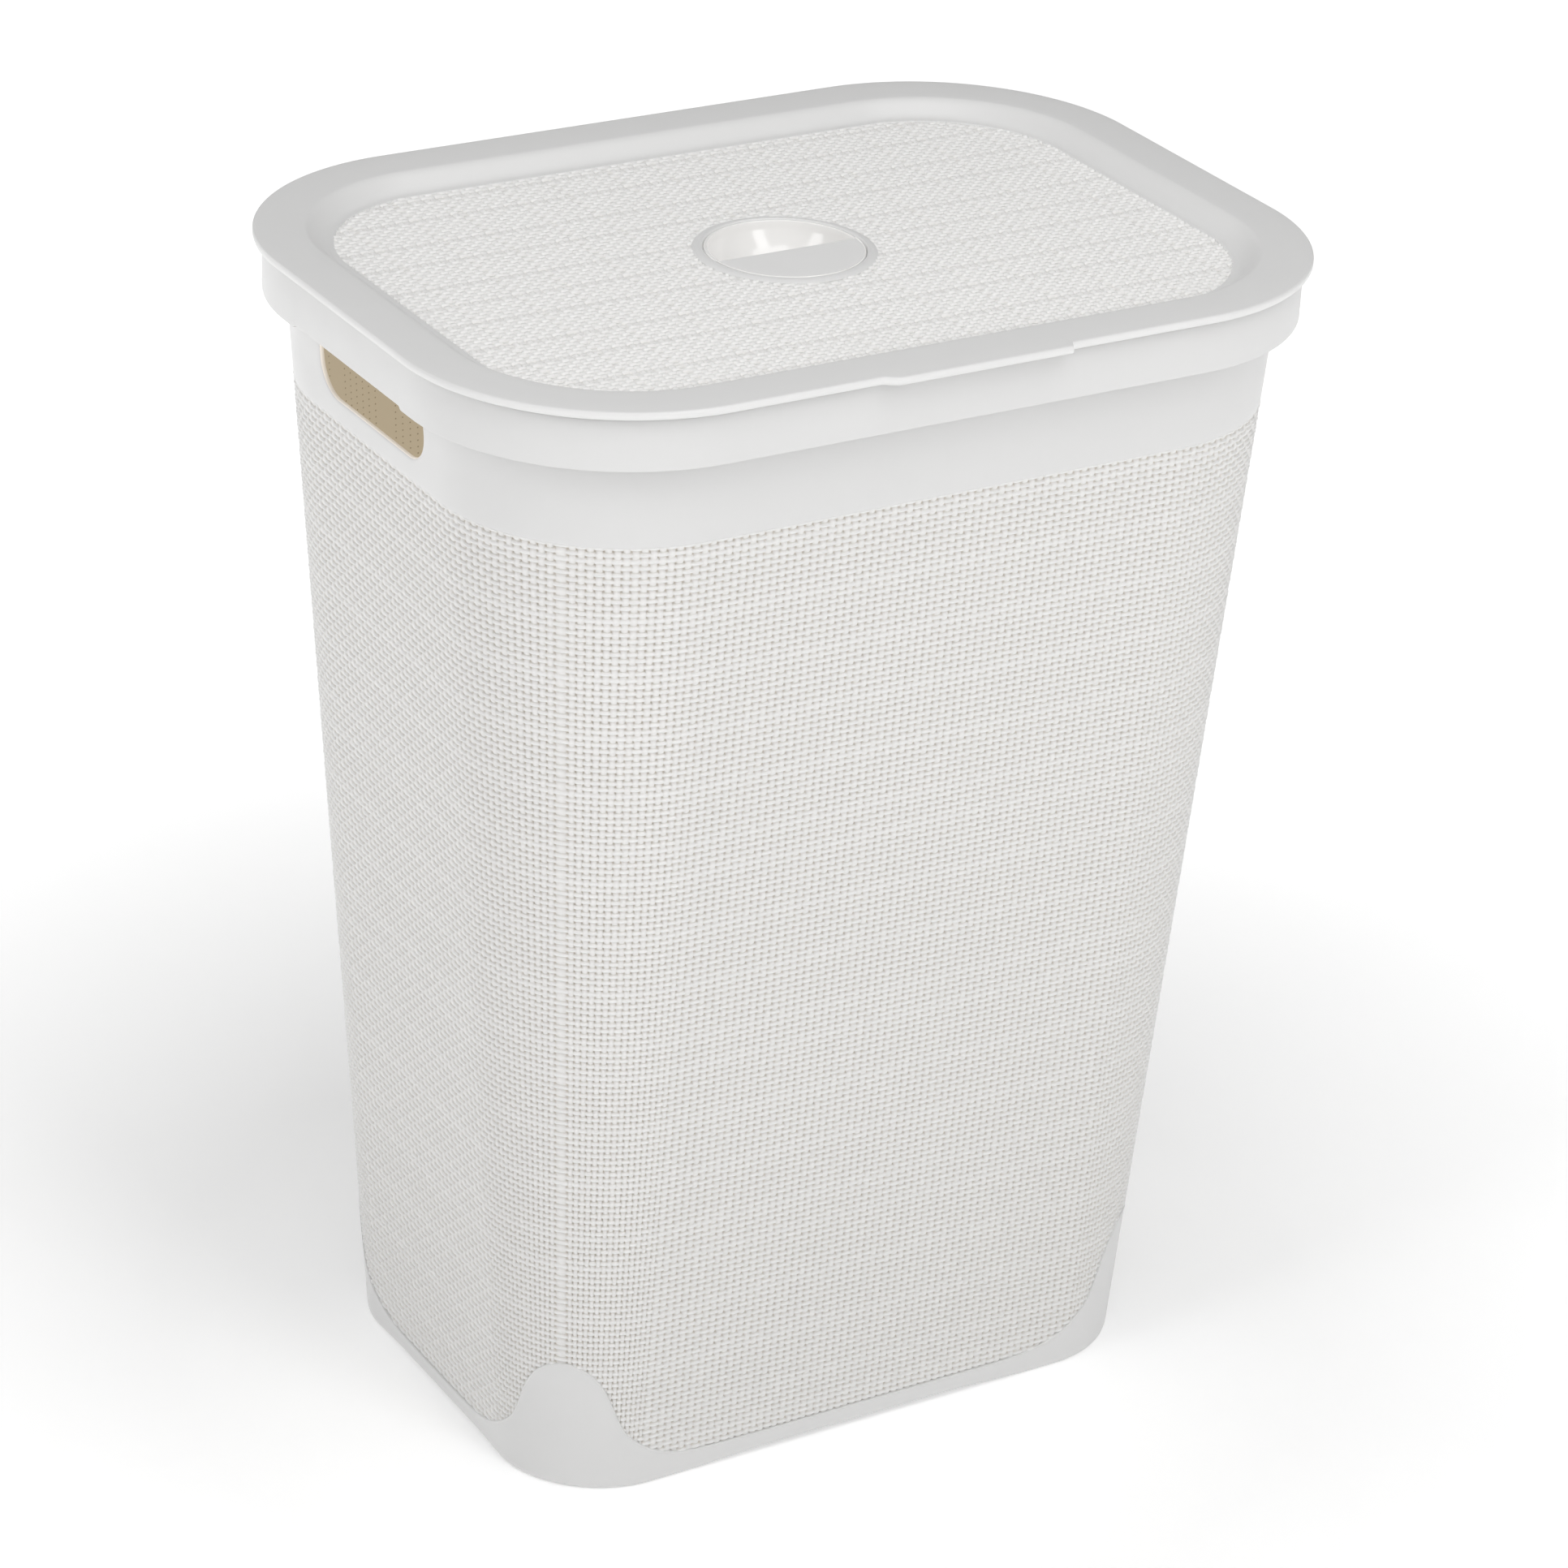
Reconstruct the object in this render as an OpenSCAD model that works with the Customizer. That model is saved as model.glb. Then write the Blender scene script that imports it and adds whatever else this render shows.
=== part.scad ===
// Laundry hamper with a hinged lid, moulded in plastic. A tapered tub with a rounded
// rectangular plan stands on four corner feet and has a handle hole in each short side.
// A collar caps the tub's top edge. The lid turns on two pins at the back of the collar,
// has a dished panel, a thumb tab at the front and a round finger grip in the middle.
// Millimetres. Origin: middle of the footprint, on the floor. +Z up, -Y is the front.

/* [Collar] */
// Width of the collar, left to right
rim_w = 462; // [448:1:476]
// Depth of the collar, front to back
rim_d = 339; // [328:1:350]
// Outside corner radius of the collar
rim_r = 104; // [98:1:110]
// Height of the collar's lower edge above the floor
rim_bottom = 568; // [556:1:572]
// Height of the collar's top face above the floor
rim_top = 593.2; // [592:0.1:600]
// Thickness of the collar's skirt and top web
rim_wall = 2.2; // [1.8:0.1:2.6]
// How far the collar's lower edge is raised over each handle hole
rim_relief = 1.6; // [0:0.1:3]
// Width of that raised part of the collar's lower edge
relief_w = 108; // [90:1:120]

/* [Tub] */
// Width of the tub at the floor
base_w = 352; // [330:1:370]
// Depth of the tub at the floor
base_d = 243; // [230:1:260]
// Corner radius of the tub at the floor
base_r = 56; // [48:1:64]
// How far the collar stands out from the tub at the collar's lower edge
rim_stand_off = 12; // [11:0.5:13]
// Thickness of the tub's walls
wall = 2; // [1.6:0.1:2.4]
// Height of the underside of the tub's floor
floor_bottom = 5; // [4:0.5:10]
// Thickness of the tub's floor
floor_t = 2.4; // [2:0.1:4]
// Width of the ring that the tub stands on
foot_ring = 8; // [6:1:14]
// How far the tub's lower edge is raised between its corner feet
foot_h = 2; // [1:0.5:3]

/* [Handle holes] */
// Width of a handle hole
handle_w = 105; // [90:1:120]
// Height of a handle hole's lower edge above the floor
handle_bottom = 536.5; // [530:0.5:548]
// Height of a handle hole's upper edge above the floor, hidden by the collar
handle_top = 578; // [570:1:579]
// Corner radius of a handle hole
handle_r = 16; // [8:1:18]

/* [Lid] */
// How far the lid stands out over the collar
lid_overhang = 4.5; // [3.5:0.5:5]
// Gap between the collar's top face and the lid's lower edge
lid_gap = 0.4; // [0.3:0.1:0.8]
// Height of the lid's turned-down edge
lid_edge_h = 4.4; // [4:0.1:6]
// Thickness of the lid
lid_t = 2.2; // [1.8:0.1:2.4]
// Width of the flat band round the lid
lid_band = 24; // [20:1:26]
// Width of the curved slope between the band and the panel
lid_slope = 12; // [10:1:16]
// How far the panel lies below the band
lid_recess = 8.5; // [6:0.5:10]
// Width of the thumb tab at the front
tab_w = 96; // [70:1:120]
// How far the thumb tab stands out
tab_out = 4; // [2:0.5:6]

/* [Finger grip] */
// Outside radius of the raised ring round the grip
ring_r = 44.3; // [43:0.1:50]
// Height of the raised ring above the panel
ring_h = 1.5; // [1:0.1:2.5]
// Radius of the grip's cup
cup_r = 38.8; // [34:0.1:40]
// Depth of the cup
cup_depth = 22.5; // [18:0.5:26]
// Thickness of the cup's wall
cup_t = 1.8; // [1.4:0.1:2.4]
// Thickness of the half-moon grip plate
grip_t = 2.3; // [2:0.1:3]
// Distance of the grip plate's straight edge in front of the cup's centre
grip_edge = 2; // [0:0.5:8]

/* [Hinges] */
// Distance of each hinge from the middle of the lid
hinge_x = 95; // [60:1:105]
// Width of the lid's hinge knuckle
knuckle_w = 20; // [14:1:30]
// Outside radius of the knuckle
knuckle_r = 3.2; // [3:0.1:3.3]
// Radius of a hinge pin
pin_r = 1.5; // [1.2:0.1:1.6]
// Thickness of the collar's ear at each end of a pin
ear_w = 4; // [3:0.5:6]

/* [Hidden] */
$fn = 96;
thin = 0.01;
// Centre of the corner arcs that the collar and the lid share
corner_x = rim_w / 2 - rim_r;
corner_y = rim_d / 2 - rim_r;

// Lid
lid_bottom = rim_top + lid_gap;
lid_top = lid_bottom + lid_edge_h;
lid_r = rim_r + lid_overhang;
band_r = lid_r - lid_band;
panel_r = band_r - lid_slope;
panel_z = lid_top - lid_recess;
edge_round = 2;
slope_steps = 12;
lid_rib_r = rim_r - 7;
lid_rib_t = 2;
lid_front = corner_y + lid_r;
tab_ramp = 8;

// Tub
tub_top = rim_top - rim_wall - 0.1;
collar_leg_r = rim_r - 13.8;
collar_leg_t = 1.8;
collar_leg_h = 13;
feet_gap_x = base_w - 152;
feet_gap_y = base_d - 99;

// Grip
ring_slope = 4;
ring_fit = 0.2;
cup_top = panel_z + ring_h - 0.4;
cup_flange = 4.7;
cup_flange_t = 2.2;
cup_floor_round = 6;
cup_rim_round = 0.8;
grip_fit = 0.1;

// Hinge axis, at the back of the collar and just under the lid
hinge_y = rim_d / 2 + 0.5;
hinge_z = rim_top - 3.7;
hinge_fit = 0.06;
ear_fit = 0.02;
knuckle_gap = 0.4;
ear_r = 3.4;
notch_w = knuckle_w + 2 * knuckle_gap;
notch_depth = ear_r + 1;

shell = [0.88, 0.88, 0.87];
gloss = [0.92, 0.92, 0.91];
grey = [0.80, 0.80, 0.79];

// Rectangle with round corners, centred on the origin
module rounded_rect(w, d, r) {
    square([w - 2 * r, d], center = true);
    square([w, d - 2 * r], center = true);
    for (x = [-1, 1], y = [-1, 1]) translate([x * (w / 2 - r), y * (d / 2 - r)]) circle(r);
}

// Sweeps a profile round the collar's plan. The profile's x is the distance out from
// the centres of the corner arcs, and its y is the height.
module sweep_round_rim() {
    for (k = [0:3]) {
        a = k % 2 == 0 ? corner_x : corner_y;
        b = k % 2 == 0 ? corner_y : corner_x;
        rotate(90 * k) translate([a, b, 0]) {
            rotate_extrude(angle = 90) children();
            rotate([90, 0, 0]) linear_extrude(2 * b) children();
        }
    }
}

// Rectangle in a swept profile, between two radii and two heights
module band_profile(r0, r1, z0, z1) {
    translate([r0, z0]) square([r1 - r0, z1 - z0]);
}

// The tub's plan at a height, as a thin plate. It tapers straight from the collar down.
module tub_slice(z, inset) {
    k = z / rim_bottom;
    w = base_w + (rim_w - 2 * rim_stand_off - base_w) * k;
    d = base_d + (rim_d - 2 * rim_stand_off - base_d) * k;
    r = base_r + (rim_r - rim_stand_off - base_r) * k;
    translate([0, 0, z]) linear_extrude(thin)
        rounded_rect(w - 2 * inset, d - 2 * inset, r - inset);
}

module tub_block(z0, z1, inset) {
    hull() {
        tub_slice(z0, inset);
        tub_slice(z1 - thin, inset);
    }
}

// Handle holes, through both short sides
module handle_holes() {
    h = handle_top - handle_bottom;
    translate([-rim_w / 2, 0, handle_bottom + h / 2]) rotate([90, 0, 90])
        linear_extrude(rim_w) rounded_rect(handle_w, h, handle_r);
}

module tub() {
    color(shell) difference() {
        tub_block(0, tub_top, 0);
        tub_block(floor_bottom + floor_t, tub_top + 1, wall);
        translate([0, 0, -1]) linear_extrude(floor_bottom + 1)
            rounded_rect(base_w - 2 * foot_ring, base_d - 2 * foot_ring, base_r - foot_ring);
        // The lower edge is raised between the corner feet
        translate([-feet_gap_x / 2, -rim_d / 2, -1]) cube([feet_gap_x, rim_d, foot_h + 1]);
        translate([-rim_w / 2, -feet_gap_y / 2, -1]) cube([rim_w, feet_gap_y, foot_h + 1]);
        handle_holes();
    }
}

// Places children at both hinges, with X along the pin
module at_hinges() {
    for (side = [-1, 1]) translate([side * hinge_x, hinge_y, hinge_z]) children();
}

// Round bar or bore along X, centred on the hinge axis
module hinge_bar(r, length) {
    rotate([0, 90, 0]) cylinder(r = r, h = length, center = true);
}

// A pair of ears that hold one pin
module hinge_ears() {
    for (side = [-1, 1]) translate([side * (notch_w + ear_w) / 2, 0, 0]) {
        hinge_bar(ear_r, ear_w);
        translate([-ear_w / 2, -9, -ear_r]) cube([ear_w, 9, ear_r + 3]);
    }
}

module rim_collar() {
    color(shell) difference() {
        union() {
            sweep_round_rim() union() {
                band_profile(rim_r - rim_wall, rim_r, rim_bottom, rim_top);
                band_profile(collar_leg_r - collar_leg_t, rim_r, rim_top - rim_wall, rim_top);
                band_profile(collar_leg_r - collar_leg_t, collar_leg_r,
                             rim_top - collar_leg_h, rim_top);
            }
            at_hinges() hinge_ears();
        }
        // Room for each hinge knuckle
        at_hinges() translate([-notch_w / 2, -notch_depth, -7.5]) cube([notch_w, 12, 20]);
        at_hinges() hinge_bar(pin_r + ear_fit, notch_w + 2 * ear_w + 1);
        // The lower edge steps up over the handle holes
        translate([-rim_w / 2 - 1, -relief_w / 2, rim_bottom - 1])
            cube([rim_w + 2, relief_w, rim_relief + 1]);
    }
}

// Height of the lid's top surface across the slope, from 0 at the panel to 1 at the band
function slope_z(t) = panel_z + lid_recess * (1 - cos(180 * t)) / 2;

// Cross-section of the lid's band, with its turned-down edge, locating rib and slope
module lid_profile() {
    top = [for (i = [0:slope_steps])
        [panel_r + lid_slope * i / slope_steps, slope_z(i / slope_steps)]];
    edge = [for (a = [90:-15:0])
        [lid_r - edge_round + edge_round * cos(a), lid_top - edge_round + edge_round * sin(a)]];
    under = [for (i = [slope_steps:-1:0])
        [panel_r + lid_slope * i / slope_steps, slope_z(i / slope_steps) - lid_t]];
    polygon(concat(top, edge,
        [[lid_r, lid_bottom], [lid_r - lid_t, lid_bottom], [lid_r - lid_t, lid_top - lid_t]],
        under));
    band_profile(lid_rib_r - lid_rib_t, lid_rib_r, lid_bottom, lid_top - lid_t / 2);
}

// Thumb tab, whose ends ramp out from the lid's front edge
module thumb_tab() {
    half = tab_w / 2;
    translate([0, -lid_front, lid_bottom]) linear_extrude(lid_edge_h)
        polygon([[-half - tab_ramp / 2, 0.5], [-half + tab_ramp / 2, -tab_out],
                 [half - tab_ramp / 2, -tab_out], [half + tab_ramp / 2, 0.5]]);
}

// Raised ring round the grip, with the bore that holds the cup
module grip_ring() {
    bore = cup_r + ring_fit;
    rotate_extrude() polygon([[bore, panel_z - lid_t], [bore, panel_z + ring_h],
        [ring_r - ring_slope, panel_z + ring_h], [ring_r, panel_z], [ring_r, panel_z - lid_t]]);
}

module lid() {
    panel_w = 2 * (corner_x + panel_r) + 1;
    panel_d = 2 * (corner_y + panel_r) + 1;
    color(shell) difference() {
        union() {
            sweep_round_rim() lid_profile();
            difference() {
                translate([0, 0, panel_z - lid_t]) linear_extrude(lid_t)
                    rounded_rect(panel_w, panel_d, panel_r);
                cylinder(r = ring_r - 1, h = lid_top);
            }
            grip_ring();
            thumb_tab();
            at_hinges() {
                hinge_bar(knuckle_r, knuckle_w);
                translate([-knuckle_w / 2, -2.5, 0])
                    cube([knuckle_w, 5, lid_top - lid_t / 2 - hinge_z]);
            }
        }
        at_hinges() hinge_bar(pin_r + hinge_fit, knuckle_w + 1);
    }
}

// Snap-in cup with a flange under the panel. Its front rim is cut down for the grip plate.
module grip_cup() {
    flange_top = panel_z - lid_t - ring_fit;
    cup_bottom = cup_top - cup_depth - cup_t;
    inner_r = cup_r - cup_t;
    outer_round = [for (a = [-90:15:0])
        [cup_r + cup_floor_round * (cos(a) - 1), cup_bottom + cup_floor_round * (1 + sin(a))]];
    inner_round = [for (a = [0:-15:-90])
        [inner_r + cup_floor_round * (cos(a) - 1),
         cup_bottom + cup_t + cup_floor_round * (1 + sin(a))]];
    color(gloss) difference() {
        rotate_extrude() polygon(concat([[0, cup_bottom]], outer_round,
            [[cup_r, flange_top - cup_flange_t], [cup_r + cup_flange, flange_top - cup_flange_t],
             [cup_r + cup_flange, flange_top], [cup_r, flange_top],
             [cup_r, cup_top - cup_rim_round], [cup_r - cup_rim_round, cup_top],
             [inner_r, cup_top]],
            inner_round, [[0, cup_bottom + cup_t]]));
        translate([-cup_r - 1, -cup_r - 1, cup_top - grip_t - grip_fit])
            cube([2 * cup_r + 2, cup_r + 1 - grip_edge + grip_fit, grip_t + 1]);
    }
}

// Half-moon plate over the front of the cup. Fingers hook under its straight edge.
module grip_plate() {
    color(grey) intersection() {
        rotate_extrude() polygon([[0, cup_top - grip_t], [cup_r, cup_top - grip_t],
            [cup_r, cup_top - cup_rim_round], [cup_r - cup_rim_round, cup_top], [0, cup_top]]);
        translate([-cup_r, -cup_r, cup_top - grip_t])
            cube([2 * cup_r, cup_r - grip_edge, grip_t]);
    }
}

// One hinge pin. side is -1 on the left and 1 on the right.
module hinge_pin(side) {
    color(grey) translate([side * hinge_x, hinge_y, hinge_z])
        hinge_bar(pin_r, notch_w + 2 * ear_w - 0.4);
}

tub();
rim_collar();
lid();
grip_cup();
grip_plate();
hinge_pin(-1);  // hinge_pin_left
hinge_pin(1);  // hinge_pin_right
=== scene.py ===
"""Looks of a moulded laundry hamper with a hinged lid. Lengths are in millimetres until a mesh is made."""
import math

import bpy
import numpy as np
from mathutils import Matrix, Vector


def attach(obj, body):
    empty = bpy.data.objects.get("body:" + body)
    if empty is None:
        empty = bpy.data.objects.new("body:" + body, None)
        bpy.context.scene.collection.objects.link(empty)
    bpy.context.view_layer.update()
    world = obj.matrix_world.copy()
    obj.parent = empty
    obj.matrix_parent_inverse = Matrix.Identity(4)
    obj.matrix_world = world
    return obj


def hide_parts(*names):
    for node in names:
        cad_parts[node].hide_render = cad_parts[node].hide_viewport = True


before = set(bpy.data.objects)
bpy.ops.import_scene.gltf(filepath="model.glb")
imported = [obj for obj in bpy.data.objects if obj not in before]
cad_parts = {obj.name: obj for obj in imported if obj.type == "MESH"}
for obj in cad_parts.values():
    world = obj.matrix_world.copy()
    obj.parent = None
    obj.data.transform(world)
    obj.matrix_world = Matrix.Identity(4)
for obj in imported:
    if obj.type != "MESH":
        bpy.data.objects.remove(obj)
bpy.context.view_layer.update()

MM = 0.001

# ---------------------------------------------------------------- camera and stage

VIEW_AZIMUTH = math.radians(-31.6)
VIEW_ELEVATION = math.radians(26.5)
VIEW_ROLL = math.radians(2.7)
VIEW_DISTANCE = 2629.4
VIEW_OFFSET = (11.8, 5.7)
VIEW_CENTRE = Vector((0, 0, 300))
LENS = 121.1

# Soft lights, as place, size in metres and power in watts
LIGHTS = {
    "front": ((0.45, -2.6, 1.9), (0.9, 2.2), 20.5),
    "left": ((-2.6, -0.45, 1.9), (0.9, 2.2), 17.5),
    "top": ((0.0, -0.9, 2.5), (2.0, 1.4), 21),
    "back": ((-1.2, 2.4, 1.2), (1.6, 1.6), 14),
}


def add_camera():
    """Places the camera and makes it the scene's own."""
    ca, sa = math.cos(VIEW_AZIMUTH), math.sin(VIEW_AZIMUTH)
    ce, se = math.cos(VIEW_ELEVATION), math.sin(VIEW_ELEVATION)
    back = Vector((sa * ce, -ca * ce, se))
    side = Vector((ca, sa, 0))
    up = back.cross(side)
    cr, sr = math.cos(VIEW_ROLL), math.sin(VIEW_ROLL)
    right = side * cr + up * sr
    above = up * cr - side * sr
    place = back * VIEW_DISTANCE + VIEW_CENTRE + right * VIEW_OFFSET[0] + above * VIEW_OFFSET[1]
    data = bpy.data.cameras.new("camera")
    data.lens = LENS
    data.sensor_width = 36
    data.clip_end = 50
    camera = bpy.data.objects.new("camera", data)
    turn = Matrix((right, above, back)).transposed().to_4x4()
    camera.matrix_world = Matrix.Translation(place * MM) @ turn
    bpy.context.collection.objects.link(camera)
    bpy.context.scene.camera = camera


def add_area_light(name, place, size, power):
    """A rectangular soft light that faces the middle of the tub. Metres and watts."""
    data = bpy.data.lights.new(name, "AREA")
    data.shape = "RECTANGLE"
    data.size, data.size_y = size
    data.energy = power
    light = bpy.data.objects.new(name, data)
    light.location = place
    aim = VIEW_CENTRE * MM - Vector(place)
    light.rotation_euler = aim.to_track_quat("-Z", "Y").to_euler()
    bpy.context.collection.objects.link(light)


def add_world(strength):
    """Even white surroundings."""
    world = bpy.data.worlds.new("studio")
    world.use_nodes = True
    shader = world.node_tree.nodes["Background"]
    shader.inputs["Color"].default_value = (1, 1, 1, 1)
    shader.inputs["Strength"].default_value = strength
    bpy.context.scene.world = world


# ---------------------------------------------------------------- materials

CLOUDING = 0.02


def new_material(name):
    """An empty material with one Principled shader, as (material, nodes, links, shader)."""
    material = bpy.data.materials.new(name)
    material.use_nodes = True
    nodes = material.node_tree.nodes
    return material, nodes, material.node_tree.links, nodes["Principled BSDF"]


def add_noise(nodes, links, scale, detail):
    """A noise texture in the object's own coordinates."""
    place = nodes.new("ShaderNodeTexCoord")
    noise = nodes.new("ShaderNodeTexNoise")
    noise.inputs["Scale"].default_value = scale
    noise.inputs["Detail"].default_value = detail
    links.new(place.outputs["Object"], noise.inputs["Vector"])
    return noise


def add_mix(nodes, links, factor, first, second):
    """Mixes two colours by a factor socket. first and second are colours or sockets."""
    mix = nodes.new("ShaderNodeMix")
    mix.data_type = "RGBA"
    links.new(factor, mix.inputs[0])
    for socket, value in ((mix.inputs[6], first), (mix.inputs[7], second)):
        if isinstance(value, tuple):
            socket.default_value = (*value, 1)
        else:
            links.new(value, socket)
    return mix.outputs[2]


def add_range(nodes, links, value, low, high, to_low, to_high):
    """Maps a value socket from one range to another."""
    node = nodes.new("ShaderNodeMapRange")
    links.new(value, node.inputs["Value"])
    node.inputs["From Min"].default_value = low
    node.inputs["From Max"].default_value = high
    node.inputs["To Min"].default_value = to_low
    node.inputs["To Max"].default_value = to_high
    return node.outputs["Result"]


def plastic(name, colour, rough, grain, coat=0.0, pit_shade_colour=None, painted_glow=0.0):
    """Moulded plastic: soft colour clouding, a fine etched grain, and painted shade in the weave's pits.

    The last argument makes the surface glow in its own colour: painted light, standing in for light let in
    by a thin wall.
    """
    material, nodes, links, shader = new_material(name)
    cloud = add_noise(nodes, links, 9, 3)
    clouded = tuple(part - CLOUDING for part in colour)
    colour = add_mix(nodes, links, cloud.outputs["Fac"], clouded, colour)
    # Painted shade: the lower a point of the weave lies, the more its colour is mixed towards the darker
    # pit colour.
    if pit_shade_colour:
        pit_shade_node = nodes.new("ShaderNodeAttribute")
        pit_shade_node.attribute_name = "pit_shade"
        colour = add_mix(nodes, links, pit_shade_node.outputs["Fac"], colour, pit_shade_colour)
    links.new(colour, shader.inputs["Base Color"])
    # Painted light: the surface glows in its own colour.
    if painted_glow:
        links.new(colour, shader.inputs["Emission Color"])
        shader.inputs["Emission Strength"].default_value = painted_glow
    streaks = add_noise(nodes, links, 60, 4)
    streaked = add_range(nodes, links, streaks.outputs["Fac"], 0.3, 0.7, rough - 0.04, rough + 0.05)
    links.new(streaked, shader.inputs["Roughness"])
    etched = add_noise(nodes, links, 1700, 2)
    bump = nodes.new("ShaderNodeBump")
    bump.inputs["Strength"].default_value = grain
    bump.inputs["Distance"].default_value = 0.0001
    links.new(etched.outputs["Fac"], bump.inputs["Height"])
    links.new(bump.outputs["Normal"], shader.inputs["Normal"])
    shader.inputs["Coat Weight"].default_value = coat
    shader.inputs["Coat Roughness"].default_value = 0.08
    shader.inputs["IOR"].default_value = 1.49
    return material


def add_math(nodes, links, operation, first, second=None):
    """A maths node on one or two values, each a number or a socket."""
    node = nodes.new("ShaderNodeMath")
    node.operation = operation
    for socket, value in zip(node.inputs, (first, second)):
        if isinstance(value, (int, float)):
            socket.default_value = value
        elif value is not None:
            links.new(value, socket)
    return node.outputs[0]


def add_mark(nodes, label):
    """A number stored on the mesh."""
    node = nodes.new("ShaderNodeAttribute")
    node.attribute_name = label
    return node.outputs["Fac"]


def to_middle(nodes, links, value, pitch):
    """Distance in mm from the nearest middle between two strands."""
    part = add_math(nodes, links, "FRACT", value)
    off = add_math(nodes, links, "SUBTRACT", part, 0.5)
    return add_math(nodes, links, "MULTIPLY", off, pitch)


# The vents: how many strands a group spans, the part of it without vents, and their first and last rows
VENT_GROUP, VENT_GAP, VENT_ROWS = 8, 0.24, (-11.0, 138.0)


def glowing_inner_plastic(name, light, dark, vent, painted_glow):
    """The tub's inside: its warm beige colour and its glow are painted light, with a small dark dot painted
    where each vent hole is.
    """
    material, nodes, links, shader = new_material(name)
    cloud = add_noise(nodes, links, 7, 3)
    colour = add_mix(nodes, links, cloud.outputs["Fac"], dark, light)
    strand, row = add_mark(nodes, "strand"), add_mark(nodes, "row")
    across = to_middle(nodes, links, strand, STRAND)
    up = to_middle(nodes, links, row, ROW)
    away = add_math(nodes, links, "POWER", across, 2.0)
    away = add_math(nodes, links, "ADD", away, add_math(nodes, links, "POWER", up, 2.0))
    dot = add_range(nodes, links, away, 0.08, 0.26, 1.0, 0.0)
    group = add_math(nodes, links, "FRACT", add_math(nodes, links, "MULTIPLY", strand, 1 / VENT_GROUP))
    limits = (("GREATER_THAN", group, VENT_GAP), ("GREATER_THAN", row, VENT_ROWS[0]))
    for test, value, limit in (*limits, ("LESS_THAN", row, VENT_ROWS[1])):
        dot = add_math(nodes, links, "MULTIPLY", dot, add_math(nodes, links, test, value, limit))
    colour = add_mix(nodes, links, dot, colour, vent)
    links.new(colour, shader.inputs["Base Color"])
    # Painted light: the inside glows in its warm colour.
    links.new(colour, shader.inputs["Emission Color"])
    shader.inputs["Emission Strength"].default_value = painted_glow
    rough = add_range(nodes, links, cloud.outputs["Fac"], 0.3, 0.7, 0.42, 0.5)
    links.new(rough, shader.inputs["Roughness"])
    return material


# Distances in metres over which the floor's glow grows
GLOW_REACH = (0.3, 1.0)


def add_glow(material, near, far):
    """Makes a floor give off a little white light, and more of it away from the middle, so the dimmer floor
    round the tub is a painted shadow.
    """
    nodes, links = material.node_tree.nodes, material.node_tree.links
    shader = nodes["Principled BSDF"]
    shader.inputs["Emission Color"].default_value = (1, 1, 1, 1)
    place = nodes.new("ShaderNodeTexCoord")
    away = nodes.new("ShaderNodeVectorMath")
    away.operation = "LENGTH"
    links.new(place.outputs["Object"], away.inputs[0])
    reach = add_range(nodes, links, away.outputs["Value"], *GLOW_REACH, near, far)
    links.new(reach, shader.inputs["Emission Strength"])


# ---------------------------------------------------------------- mesh tools


def make_mesh(name, points, quads, others=(), marks=None):
    """A mesh from points in mm, an array of quads and other polygons. marks are numbers per point."""
    quads = np.asarray(quads, dtype=np.int64).reshape(-1, 4)
    loops = np.concatenate([quads.ravel(), *[np.asarray(f, dtype=np.int64) for f in others]])
    sizes = np.concatenate([np.full(len(quads), 4), [len(f) for f in others]]).astype(np.int64)
    starts = np.concatenate([[0], np.cumsum(sizes)[:-1]])
    used = np.zeros(len(points), bool)
    used[loops] = True
    renumber = np.cumsum(used) - 1
    mesh = bpy.data.meshes.new(name)
    mesh.vertices.add(int(used.sum()))
    mesh.vertices.foreach_set("co", (np.asarray(points)[used] * MM).astype(np.float32).ravel())
    mesh.loops.add(len(loops))
    mesh.loops.foreach_set("vertex_index", renumber[loops].astype(np.int32))
    mesh.polygons.add(len(sizes))
    mesh.polygons.foreach_set("loop_start", starts.astype(np.int32))
    mesh.update(calc_edges=True)
    mesh.validate()
    for label, values in (marks or {}).items():
        layer = mesh.attributes.new(label, "FLOAT", "POINT")
        layer.data.foreach_set("value", np.asarray(values)[used].astype(np.float32))
    return mesh


def sharpen_border(mesh, front):
    """Keeps the edges crisp between a mesh's first polygons, as many as front, and the rest."""
    edges = np.empty(len(mesh.loops), dtype=np.int32)
    mesh.loops.foreach_get("edge_index", edges)
    on_front = np.zeros(len(mesh.edges), bool)
    on_rest = np.zeros(len(mesh.edges), bool)
    on_front[edges[: 4 * front]] = True
    on_rest[edges[4 * front :]] = True
    sharp = np.empty(len(mesh.edges), bool)
    mesh.edges.foreach_get("use_edge_sharp", sharp)
    mesh.edges.foreach_set("use_edge_sharp", sharp | (on_front & on_rest))


def add_piece(name, mesh, body, material, sharp=40.0, stands_for=(), front=0):
    """Links a mesh as a piece that rides on a body. Edges sharper than an angle stay crisp."""
    mesh.polygons.foreach_set("use_smooth", np.ones(len(mesh.polygons), bool))
    mesh.set_sharp_from_angle(angle=math.radians(sharp))
    if front:
        sharpen_border(mesh, front)
    mesh.materials.append(material)
    piece = bpy.data.objects.new(name, mesh)
    bpy.context.collection.objects.link(piece)
    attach(piece, body)
    if stands_for:
        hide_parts(*stands_for)
    return piece


def bridge(first, second):
    """Quads between two closed loops of point numbers of the same length."""
    return np.stack([first, np.roll(first, -1), np.roll(second, -1), second], axis=1)


def circle_points(angles, r, z):
    """Points at these angles on a circle round the z axis, at a height or at a height each."""
    return np.column_stack([r * np.cos(angles), r * np.sin(angles), np.broadcast_to(z, len(angles))])


def full_turn(steps):
    """Angles all the way round, evenly spaced."""
    return np.linspace(0, 2 * math.pi, steps, endpoint=False)


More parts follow.
